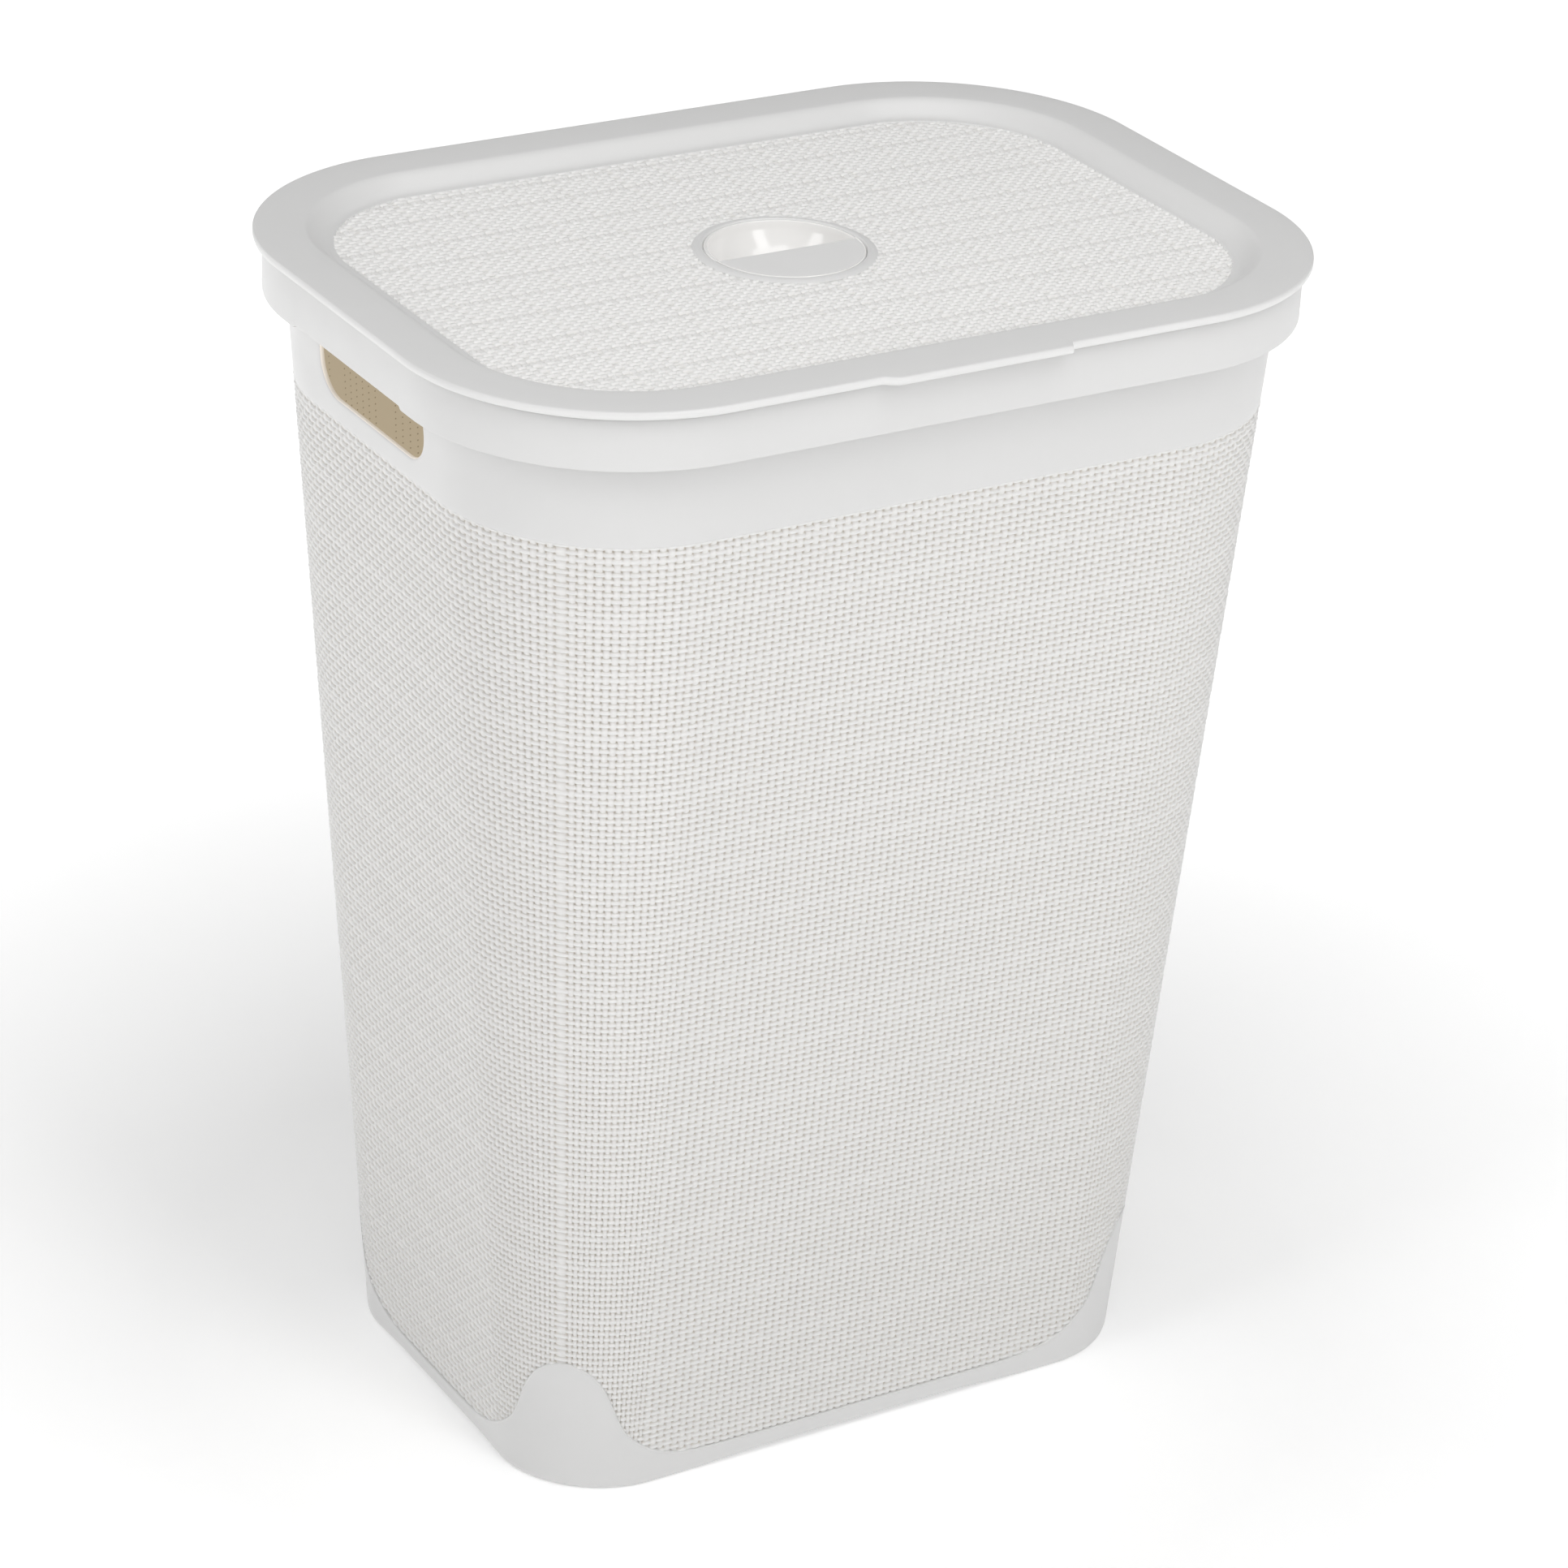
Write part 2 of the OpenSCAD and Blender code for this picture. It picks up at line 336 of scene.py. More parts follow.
def smooth_step(x, low, high):
    """0 below low, 1 above high, and a smooth ramp between."""
    t = np.clip((np.asarray(x, float) - low) / (high - low), 0, 1)
    return t * t * (3 - 2 * t)


class Builder:
    """Collects points and polygons of one mesh."""

    def __init__(self):
        self.points = []
        self.count = 0
        self.quads = []
        self.others = []

    def add(self, points):
        """Adds points and returns their numbers."""
        points = np.asarray(points, float).reshape(-1, 3)
        self.points.append(points)
        numbers = np.arange(self.count, self.count + len(points))
        self.count += len(points)
        return numbers

    def strip(self, loops):
        """Joins a list of loops, each to the next."""
        for first, second in zip(loops, loops[1:]):
            self.quads.append(bridge(first, second))

    def fan(self, loop, centre, flip=False):
        """Closes a loop with triangles to one point."""
        middle = int(self.add([centre])[0])
        ends = np.roll(loop, -1)
        for a, b in zip(loop, ends):
            self.others.append([b, a, middle] if flip else [a, b, middle])

    def mesh(self, name, marks=None):
        """The collected mesh. marks is a function from points to a table of numbers per point."""
        points = np.concatenate(self.points)
        table = marks(points) if marks else None
        return make_mesh(name, points, np.concatenate(self.quads), self.others, table)


# ---------------------------------------------------------------- weave

STRAND = 4.13
ROW = 3.356
ROW_LOW = 3.47
THICK_GAPS = (7, 9)
BAR_CREST, BAR_DIP, BAR_HALF = 0.66, 1.85, 0.6
FLAT_CREST, FLAT_DIP, FLAT_HALF = 0.46, 1.6, 0.85
RIBBON_CREST, RIBBON_DIP, RIBBON_HALF = 0.14, 1.05, 1.35
WIDE_CREST, WIDE_DIP, WIDE_HALF = 0.08, 1.0, 1.45
DOME = 0.3
SIDE_SLOPE = 2.0
PIT_LEVEL = -1.3
BAND_LEVEL = 0.45
STRAND_STEPS = (-0.43, -0.32, 0.0, 0.32, 0.43)
ROW_STEPS = (-0.5, -0.34, -0.17, 0.0, 0.17, 0.34)


def alternating(gaps, limit):
    """0 and the running sums of gaps, repeated up to limit."""
    out = [0]
    while out[-1] < limit:
        out.append(out[-1] + gaps[(len(out) - 1) % len(gaps)])
    return np.array(out)


def section(across, half, level):
    """Height across a strand: a shallow dome, then a steep side."""
    across = np.abs(across)
    dome = DOME * np.minimum(across / half, 1) ** 2
    return level - dome - SIDE_SLOPE * np.maximum(across - half, 0)


def weave_height(u, v, strand, row, thick_strand, thick_row, lift=0.0, swell=2.0):
    """Height of a plain weave. Strands sit at whole u and rows at whole v.

    lift raises the ribbons and drops the thick strands and rows. swell is how long a ribbon stays up.
    """
    i = np.round(u)
    wide = thick_strand(i)
    sink = ((1 + np.cos(math.pi * (v - i))) / 2) ** swell
    level = np.where(wide, WIDE_CREST - lift - WIDE_DIP * sink, RIBBON_CREST + lift - RIBBON_DIP * sink)
    half = np.where(wide, WIDE_HALF, RIBBON_HALF) * strand / STRAND
    height = section((u - i) * strand, half, level)
    for r in (np.floor(v), np.floor(v) + 1):
        flat = thick_row(r)
        sink = ((1 - np.cos(math.pi * (u - r))) / 2) ** 3
        level = np.where(flat, FLAT_CREST - 2 * lift - FLAT_DIP * sink, BAR_CREST - BAR_DIP * sink)
        half = np.where(flat, FLAT_HALF, BAR_HALF) * row / ROW
        height = np.maximum(height, section((v - r) * row, half, level))
    return np.maximum(height, PIT_LEVEL)


def pit_shade_amount(height):
    """How much painted shade a point of the weave gets, from 0 to 1: more the lower it lies, most in the
    pits between strands.
    """
    return 0.25 * smooth_step(-height, -0.3, 0.4) + 0.75 * smooth_step(-height, 0.4, 1.2)


def woven_panel(name, place, us, vs, runs, height, rear_level):
    """A closed solid with a woven front. runs gives each strip's first and last row number."""
    nv = len(vs)
    u, v = np.meshgrid(us, vs, indexing="ij")
    h = height(u, v)
    front = place(u, v, h).reshape(-1, 3)
    low, high = np.asarray(runs).T
    quads = []
    for c, (a, b) in enumerate(zip(low, high)):
        r = np.arange(a, b)
        left = c * nv + r
        quads.append(np.stack([left, left + 1, left + nv + 1, left + nv], axis=1))
    ends = column_ends(low, high)
    rear, rear_points = {}, []
    for c, rows in enumerate(ends):
        for r in rows:
            rear[c, r] = len(front) + len(rear_points)
            rear_points.append(place(us[c], vs[r], rear_level))
    others = panel_sides(nv, low, high, ends, rear)
    points = np.concatenate([front, np.asarray(rear_points).reshape(-1, 3)])
    # Painted shade for each front point; the rear points get none.
    pit_shade = np.concatenate([pit_shade_amount(h).ravel(), np.zeros(len(rear_points))])
    return make_mesh(name, points, np.concatenate(quads), others, {"pit_shade": pit_shade})


def face_count(runs):
    """How many front faces a woven panel has."""
    return int((runs[:, 1] - runs[:, 0]).sum())


def column_ends(low, high):
    """The row numbers at which strips start or end, for each line between strips."""
    count = len(low)
    ends = []
    for c in range(count + 1):
        rows = set()
        for strip in (c - 1, c):
            if 0 <= strip < count:
                rows |= {int(low[strip]), int(high[strip])}
        ends.append(sorted(rows))
    return ends


def panel_sides(nv, low, high, ends, rear):
    """Rear faces and side walls of a woven panel, as polygons."""
    count = len(low)
    faces = []
    for c in range(count):
        a, b = int(low[c]), int(high[c])
        right = [rear[c + 1, r] for r in ends[c + 1] if a <= r <= b]
        left = [rear[c, r] for r in ends[c] if a <= r <= b]
        faces.append(right + left[::-1])
        near, far = c * nv + a, (c + 1) * nv + a
        faces.append([near, far, rear[c + 1, a], rear[c, a]])
        near, far = c * nv + b, (c + 1) * nv + b
        faces.append([far, near, rear[c, b], rear[c + 1, b]])
    for c in range(count + 1):
        before = (int(low[c - 1]), int(high[c - 1])) if c > 0 else None
        after = (int(low[c]), int(high[c])) if c < count else None
        for first, last in bare(after, before):
            front = [c * nv + r for r in range(last, first - 1, -1)]
            back = [rear[c, r] for r in ends[c] if first <= r <= last]
            faces.append(front + back)
        for first, last in bare(before, after):
            front = [c * nv + r for r in range(first, last + 1)]
            back = [rear[c, r] for r in ends[c] if first <= r <= last]
            faces.append(front + back[::-1])
    return faces


def bare(run, other):
    """The parts of a run of rows that another run doesn't cover."""
    if run is None:
        return []
    if other is None:
        return [run]
    parts = [(run[0], min(run[1], other[0])), (max(run[0], other[1]), run[1])]
    return [(a, b) for a, b in parts if b > a]


# ---------------------------------------------------------------- tub

RIM_BOTTOM = 568.0
BASE_HALF_X, BASE_HALF_Y, BASE_R = 176.0, 121.5, 56.0
GROW_X, GROW_Y, GROW_R = 43.0, 36.0, 36.0
LONG_HALF = 30.5
CORNER_STRANDS = 33
SHORT_HALF = 16.5
SEAM_STRAND = 6.2
QUARTER = LONG_HALF + CORNER_STRANDS + SHORT_HALF
AROUND = 4 * QUARTER
TUB_TOP = 590.9
WALL = 2.0
WEAVE_TOP = 524.7
WAVE_MID = 12.6
WAVE_HILL, WAVE_HILL_HALF = 42.5, 35.9
WAVE_CAP, WAVE_CAP_HALF = 20.0, 25.1
RECESS = -1.45
BASE_QUARTER, BASE_CORNER = 277.9, 165.8


def fold(t):
    """Strand coordinate from the middle of a long side, 0, to the middle of a short side."""
    turn = np.floor(t / QUARTER)
    rest = t - turn * QUARTER
    return np.where(turn % 2 == 1, QUARTER - rest, rest), turn


def corner_at(z):
    """Centre x, centre y and radius of the wall's corners at height z."""
    k = z / RIM_BOTTOM
    r = BASE_R + GROW_R * k
    return BASE_HALF_X + GROW_X * k - r, BASE_HALF_Y + GROW_Y * k - r, r


def tub_point(t, z, offset):
    """Point on the tub's wall at strand t and height z, moved out by offset."""
    t, z, offset = np.broadcast_arrays(np.asarray(t, float) % AROUND, z, offset)
    s, turn = fold(t)
    sx = np.where(turn < 2, 1.0, -1.0)
    sy = np.where((turn == 0) | (turn == 3), -1.0, 1.0)
    cx, cy, r = corner_at(z)
    arc = r * math.pi / 2
    length = quarter_length(s, cx + arc + cy)
    angle = np.clip((length - cx) / r, 0, math.pi / 2)
    x = cx + (r + offset) * np.sin(angle)
    y = cy + (r + offset) * np.cos(angle)
    x = np.where(length < cx, length, x)
    y = np.where(length > cx + arc, cx + arc + cy - length, y)
    return np.stack([x * sx, y * sy, z], axis=-1)


def corner_pitch(whole):
    """Width of a corner strand where a quarter of the way round the wall is this long."""
    corner = whole - (LONG_HALF + SHORT_HALF) * STRAND
    return (corner - SEAM_STRAND) / (CORNER_STRANDS - 1)


def quarter_length(s, whole):
    """Length along the wall from the middle of a long side to strand s."""
    pitch = corner_pitch(whole)
    q = np.clip(s - LONG_HALF, 0, CORNER_STRANDS)
    seam = np.clip(q - (CORNER_STRANDS - 1) / 2, 0, 1)
    flat = np.minimum(s, LONG_HALF) + np.maximum(s - QUARTER + SHORT_HALF, 0)
    return flat * STRAND + q * pitch + seam * (SEAM_STRAND - pitch)


def quarter_strand(length, whole):
    """The strand at this length along the wall from the middle of a long side."""
    pitch = corner_pitch(whole)
    along = length - LONG_HALF * STRAND
    half = (CORNER_STRANDS - 1) / 2 * pitch
    strand = LONG_HALF + np.minimum(along, half) / pitch
    strand += np.clip(along - half, 0, SEAM_STRAND) / SEAM_STRAND
    strand += np.maximum(along - half - SEAM_STRAND, 0) / pitch
    strand = np.where(along < 0, length / STRAND, strand)
    left = whole - length
    return np.where(left < SHORT_HALF * STRAND, QUARTER - left / STRAND, strand)


def corner_distance(t):
    """Distance along the tub's base from the middle of the nearest corner."""
    s, _ = fold(np.asarray(t, float) % AROUND)
    return np.abs(quarter_length(s, BASE_QUARTER) - BASE_CORNER)


def wave_height(t):
    """Height of the weave's lower edge: low along the sides and high at the corners."""
    q = corner_distance(t)
    hill = WAVE_HILL * np.exp(-((q / WAVE_HILL_HALF) ** 2))
    return WAVE_MID + hill + WAVE_CAP * np.exp(-((q / WAVE_CAP_HALF) ** 6))


def foot_raise(t):
    """How far the tub's lower edge is above the floor, between the corner feet."""
    s, _ = fold(np.asarray(t, float) % AROUND)
    return 2.0 * (1 - smooth_step(s, 12.0, 24.8) + smooth_step(s, 60.8, 71.0))


THICK_STRANDS = np.cumsum([0, 7, 9, 7, 9, 7, 8, 7, 9, 8, 9])
THICK_ROWS = np.cumsum([-18, 9, 9, 9, 9, 9, 9, 5, 9, 9, 9, 5, 9, 9, 9, 5, 9, 9, 9, 5])
ROW_TOP_Z = 487.5
ROW_CHANGE = 82


def tub_thick_strand(i):
    """Is this strand a wide one?"""
    s, _ = fold(np.mod(i, AROUND))
    return np.isin(np.round(s), THICK_STRANDS)


def row_height(v):
    """Height of a weave row above the floor."""
    low = np.maximum(np.asarray(v, float) - ROW_CHANGE, 0)
    return ROW_TOP_Z - ROW * np.minimum(v, ROW_CHANGE) - ROW_LOW * low


def tub_weave_height(u, v):
    """Height of the tub's weave, kept under the smooth band below the wave."""
    h = weave_height(u, v, STRAND, ROW, tub_thick_strand, lambda r: np.isin(r, THICK_ROWS))
    return np.where(row_height(v) < wave_height(u) - 1.2, np.minimum(h, -0.5), h)


def tub_weave_place(u, v, h):
    """Point of the tub's weave."""
    return tub_point(u, row_height(v), h)


def weave_samples(first, last, steps):
    """Sample positions from first to last, set where bars and strands change."""
    whole = np.arange(math.floor(first) - 1, math.ceil(last) + 2)
    inner = (whole[:, None] + np.asarray(steps)[None, :]).ravel()
    inner = inner[(inner > first + 0.05) & (inner < last - 0.05)]
    return np.concatenate([[first], inner, [last]])


def add_tub_weave(material):
    """The woven walls, in panels that meet in the valleys between strands."""
    vs = weave_samples(-11.26, 140.0, ROW_STEPS)
    z = row_height(vs)
    a, b, c = LONG_HALF, QUARTER - SHORT_HALF, QUARTER
    cuts = {
        "front": (-a, -14.5, 0.5, 15.5, a),
        "corner_front_right": (a, a + 16, b),
        "right": (b, c - 0.5, 2 * c - b),
        "corner_back_right": (2 * c - b, 2 * c - a - 16, 2 * c - a),
        "back": (2 * c - a, 2 * c - 14.5, 2 * c + 0.5, 2 * c + 15.5, 2 * c + a),
        "corner_back_left": (2 * c + a, 2 * c + a + 16, 2 * c + b),
        "left": (2 * c + b, 3 * c - 0.5, 4 * c - b),
        "corner_front_left": (4 * c - b, 4 * c - a - 16, 4 * c - a),
    }
    for label, edges in cuts.items():
        for k, (first, last) in enumerate(zip(edges, edges[1:])):
            us = weave_samples(first, last, STRAND_STEPS)
            middle = (us[1:] + us[:-1]) / 2
            ends = np.searchsorted(-z, -(wave_height(middle) - 2.5))
            runs = np.stack([np.zeros(len(middle), int), np.clip(ends, 1, len(vs) - 1)], axis=1)
            name = f"tub_weave_{label}_{k + 1}"
            mesh = woven_panel(name, tub_weave_place, us, vs, runs, tub_weave_height, -1.65)
            add_piece(name, mesh, "hamper", material, sharp=62, front=face_count(runs))


def quarter_samples():
    """Strand positions round a quarter of the shell, closer where its edges curve."""
    long_side = [0, 3, 6, 9, 12, 15, 18, 20, 22, 23, 23.5, 23.9, 24.4, 24.8]
    long_side += [25.4, 26.2, 27, 27.8, 28.7, 29.6]
    corner = LONG_HALF + CORNER_STRANDS * np.arange(40) / 40
    short_side = LONG_HALF + CORNER_STRANDS + SHORT_HALF * np.arange(13) / 12
    return np.concatenate([long_side, corner, short_side])


def shell_samples():
    """Strand positions all round the shell, and the first number of each side's hole zone."""
    one = quarter_samples()
    n = len(one) - 1
    half = np.concatenate([one[:-1], (2 * QUARTER - one[::-1])[:-1]])
    around = np.concatenate([half, half + 2 * QUARTER])
    return around, (n - 12, 3 * n - 12)


HOLE_HALF = (52.5, 20.75)
HOLE_Z = 557.25
HOLE_R = 16.0
# The rounded edge of a hole from outside to inside, as (distance from the hole, offset of the wall)
HOLE_RIM = [(1.1, 0.36), (0.5, 0.12), (0.12, -0.25), (0, -0.7)]
HOLE_RIM += [(0, -1.4), (0.15, -1.75), (0.5, -1.94), (1.2, -2)]
ZONE_LOW, ZONE_HIGH = 528.0, 587.0
ZONE_ROWS = 12
ZONE_COLUMNS = 24


def corner_arc(first, count, size):
    """Points 9 degrees apart on a rounded corner of a hole, from an angle in degrees."""
    hx, hz, r = size
    middle = math.radians(first // 90 * 90 + 45)
    cx, cz = math.copysign(hx - r, math.cos(middle)), math.copysign(hz - r, math.sin(middle))
    angles = np.radians(first + 9 * np.arange(count))
    return np.column_stack([cx + r * np.cos(angles), cz + r * np.sin(angles)])


def hole_outline(grow):
    """Outline of a handle hole, grown by an amount, as (along the side, height) pairs."""
    size = HOLE_HALF[0] + grow, HOLE_HALF[1] + grow, HOLE_R + grow
    parts = []
    for start, straight in ((225, 14), (315, 2), (45, 14), (135, 2)):
        before, after = corner_arc(start, 6, size), corner_arc(start + 45, 5, size)
        steps = np.arange(1, straight)[:, None] / straight
        parts += [before, before[-1] + (after[0] - before[-1]) * steps, after]
    return np.concatenate(parts)


def add_hole(shell, middle, outer_rows, inner_rows, start):
    """Fills the zone round one handle hole, and rounds the hole's rim."""
    s, z = zone_edge_places()

    def ring(grow, f, level):
        shape = hole_outline(grow)
        across = s + (shape[:, 0] - s) * f
        up = z + (shape[:, 1] + HOLE_Z - z) * f
        return shell.add(tub_point(middle + across / STRAND, up, level))

    loops = [zone_edge(outer_rows, start)]
    loops += [ring(1.8, f, BAND_LEVEL) for f in (0.25, 0.5, 0.75, 1.0)]
    loops += [ring(grow, 1.0, level) for grow, level in HOLE_RIM]
    loops += [ring(1.2, f, -WALL) for f in (0.7, 0.35)]
    loops.append(zone_edge(inner_rows, start))
    shell.strip(loops)


def zone_edge(rows, start):
    """Point numbers round the rectangle that a handle hole's zone replaces."""
    stop = start + ZONE_COLUMNS
    right = [row[stop] for row in rows[:-1]]
    left = [row[start] for row in rows[:0:-1]]
    return np.array([*rows[0][start:stop], *right, *rows[-1][stop:start:-1], *left])


def zone_edge_places():
    """The same rectangle, as places along the side and heights."""
    half = SHORT_HALF * STRAND
    across = np.linspace(-half, half, ZONE_COLUMNS + 1)
    up = np.linspace(ZONE_LOW, ZONE_HIGH, ZONE_ROWS + 1)
    s = np.concatenate([across[:-1], np.full(ZONE_ROWS, half), across[:0:-1], np.full(ZONE_ROWS, -half)])
    low, high = np.full(ZONE_COLUMNS, ZONE_LOW), np.full(ZONE_COLUMNS, ZONE_HIGH)
    return s, np.concatenate([low, up[:-1], high, up[:0:-1]])


def shell_rows(around):
    """The shell's rows as (offset, height) from under the floor, up outside and down inside."""
    low, wave = foot_raise(around), wave_height(around)
    flat = np.zeros_like(around)
    rows = [(-8.0, 5.0), (-8.0, low + 0.3), (-7.6, low), (-2.6, low), (-1.2, low + 0.25), (-0.2, low + 1.0)]
    rows += [(BAND_LEVEL - 0.1, low + 2.2), (BAND_LEVEL, low + 3.6)]
    rows += [(BAND_LEVEL, low + 3.6 + (wave - low - 5.5) * f) for f in (0.2, 0.4, 0.6, 0.8, 1.0)]
    lip = ((1.5, 0.52), (1.1, 0.74), (0.7, 0.84), (0.3, 0.78), (0.05, 0.5), (-0.05, 0.0), (-0.1, RECESS))
    rows += [(level, wave - down) for down, level in lip]
    rows += [(RECESS, wave + 0.1 + (WEAVE_TOP - 0.3 - wave) * f) for f in np.linspace(0, 1, 14)[1:-1]]
    rows += [(RECESS, WEAVE_TOP), (0.1, WEAVE_TOP + 0.02), (0.36, WEAVE_TOP + 0.15)]
    rows += [(BAND_LEVEL, WEAVE_TOP + 0.5)]
    first = len(rows)
    rows += [(BAND_LEVEL, z) for z in np.linspace(ZONE_LOW, ZONE_HIGH, ZONE_ROWS + 1)]
    rows += [(BAND_LEVEL, 590.3), (0.2, TUB_TOP), (-1.8, TUB_TOP), (-WALL, 590.6)]
    second = len(rows)
    rows += [(-WALL, z) for z in np.linspace(ZONE_HIGH, ZONE_LOW, ZONE_ROWS + 1)]
    rows += [(-WALL, z) for z in (480, 400, 300, 200, 110, 50, 17)]
    rows += [(-2.4, 12.5), (-3.6, 9.4), (-5.8, 7.8), (-8.6, 7.4)]
    return [(offset, flat + z) for offset, z in rows], first, second


def weave_places(points):
    """The strand and row at each point of the tub's wall, for the vents seen from inside."""
    x, y, z = np.abs(points).T
    cx, cy, r = corner_at(z)
    angle = np.arctan2(np.maximum(x - cx, 0), np.maximum(y - cy, 1e-6))
    arc = r * math.pi / 2
    length = np.where(y > cy, np.minimum(x, cx) + r * angle, cx + arc + cy - y)
    strand = quarter_strand(length, cx + arc + cy)
    return {"strand": strand, "row": (ROW_TOP_Z - z) / ROW}


def paint_inside(mesh, material, glowing_rim_material):
    """Gives the tub's inner faces, and the edges of its handle holes, materials of their own, both painted
    with warm light.
    """
    count = len(mesh.polygons)
    centres = np.empty(count * 3)
    mesh.polygons.foreach_get("center", centres)
    x, y, z = np.abs(centres.reshape(-1, 3) / MM).T
    cx, cy, r = corner_at(z)
    out = np.hypot(np.maximum(x - cx, 0), np.maximum(y - cy, 0)) - r
    inner = (out < -1.8) & (z > 6.9)
    edge = ~inner & (out < 0.1) & (np.abs(z - HOLE_Z) < HOLE_HALF[1] + 2)
    mesh.materials.append(material)
    mesh.materials.append(glowing_rim_material)
    mesh.polygons.foreach_set("material_index", (inner + 2 * edge).astype(np.int32))


def add_tub_shell(material, glowing_inside_material, glowing_rim_material):
    """The tub's wall, bands, floor and feet, with a shallow recess that the weave fills."""
    around, zones = shell_samples()
    rows, first, second = shell_rows(around)
    shell = Builder()
    loops = [shell.add(tub_point(around, z, offset)) for offset, z in rows]
    skip = np.zeros(len(around), bool)
    for start in zones:
        skip[start : start + ZONE_COLUMNS] = True
    for j, (a, b) in enumerate(zip(loops, loops[1:])):
        quads = bridge(a, b)
        in_zone = first <= j < first + ZONE_ROWS or second <= j < second + ZONE_ROWS
        shell.quads.append(quads[~skip] if in_zone else quads)
    outer = loops[first : first + ZONE_ROWS + 1]
    inner = loops[second : second + ZONE_ROWS + 1][::-1]
    for start, middle in zip(zones, (QUARTER, 3 * QUARTER)):
        add_hole(shell, middle, outer, inner, start)
    close_floor(shell, loops[-1], tub_point(around, 7.4, -8.6), 7.4, False)
    close_floor(shell, loops[0], tub_point(around, 5.0, -8.0), 5.0, True)
    mesh = shell.mesh("tub_shell", weave_places)
    add_piece("tub_shell", mesh, "hamper", material, sharp=50, stands_for=("tub",))
    paint_inside(mesh, glowing_inside_material, glowing_rim_material)


def close_floor(shell, edge, outline, z, under):
    """Fills the floor inside a loop with shrinking copies of it."""
    loops = [edge]
    for f in (0.8, 0.55, 0.3, 0.1):
        loops.append(shell.add(outline * np.array([f, f, 0]) + np.array([0, 0, z])))
    if under:
        loops = [loop[::-1] for loop in loops]
    shell.strip(loops)
    shell.fan(loops[-1], (0, 0, z))


# ---------------------------------------------------------------- collar

CORNER_X, CORNER_Y = 127.0, 65.5
COLLAR_R = 104.0
COLLAR_TOP = 593.2
SKIRT_TOP = 570.0
RELIEF = 1.6
HINGE_X, HINGE_Y, HINGE_Z = 95.0, 170.0, 589.5


def rim_path(long_side, corner, short_side):
    """Places round the rim, as (centre x, centre y, normal x, normal y)."""
    arc = np.linspace(0, math.pi / 2, corner + 1)
    quarter = [(x, CORNER_Y, 0.0, 1.0) for x in long_side]
    quarter += [(CORNER_X, CORNER_Y, math.sin(a), math.cos(a)) for a in arc[1:-1]]
    quarter += [(CORNER_X, y, 1.0, 0.0) for y in short_side]
    quarter = np.array(quarter)
    right_front = quarter * [1, -1, 1, -1]
    right_back = quarter[::-1]
    left_back = quarter * [-1, 1, -1, 1]
    left_front = -quarter[::-1]
    return np.concatenate([right_front, right_back[1:], left_back[1:], left_front[1:-1]])


def rim_loop(path, rho, z):
    """A loop of points round the rim at distance rho from the corner centres."""
    rho = np.broadcast_to(np.asarray(rho, float), len(path))
    z = np.broadcast_to(np.asarray(z, float), len(path))
    x = path[:, 0] + rho * path[:, 2]
    y = path[:, 1] + rho * path[:, 3]
    return np.stack([x, y, z], axis=-1)


def fillet(cx, cz, r, start, stop, steps=4):
    """Points of an arc in a rim profile. Angles in degrees from outward, towards up."""
    angles = np.radians(np.linspace(start, stop, steps + 1))
    return [(cx + r * math.cos(a), cz + r * math.sin(a)) for a in angles]


def collar_profile():
    """The collar's section: skirt, top web and inner leg, going up outside."""
    outer = fillet(COLLAR_R - 0.5, 568.5, 0.5, -90, 0)
    top = fillet(COLLAR_R - 1.2, COLLAR_TOP - 1.2, 1.2, 0, 90)
    leg_out = fillet(89.0, COLLAR_TOP - 0.8, 0.8, 90, 180)
    leg_in = [(88.2, 581.0), (88.6, 580.2), (90.0, 580.2), (90.2, 581.0), (90.2, 590.2), (91.0, 591.0)]
    skirt_in = [(101.0, 591.0), (101.8, 590.2), (101.8, 568.5), (102.2, 568.0)]
    return outer + top + leg_out + leg_in + skirt_in


def add_collar(material):
    """The collar, whose lower edge steps up over the handle holes, with notches for the hinges."""
    long_side = [0, 20, 40, 60, 80, 95, 110, CORNER_X]
    short_side = [CORNER_Y, 60, 55.6, 54.8, 54.2, 53.6, 52.8, 45, 30, 15, 0]
    path = rim_path(long_side, 36, short_side)
    on_side = np.abs(path[:, 2]) > 0.999
    raised = np.where(on_side, RELIEF * (1 - smooth_step(np.abs(path[:, 1]), 52.9, 55.5)), 0.0)
    ring = Builder()
    loops = []
    for rho, z in collar_profile():
        loops.append(ring.add(rim_loop(path, rho, z + raised if z < SKIRT_TOP else z)))
    ring.strip(loops + [loops[0]])
    mesh = ring.mesh("rim_collar_skin")
    piece = add_piece("collar", mesh, "hamper", material, 38, stands_for=("rim_collar",))
    for side in (-1, 1):
        cut_box(piece, (side * HINGE_X, HINGE_Y + 1.6, HINGE_Z + 2.5), (20.8, 12, 20))


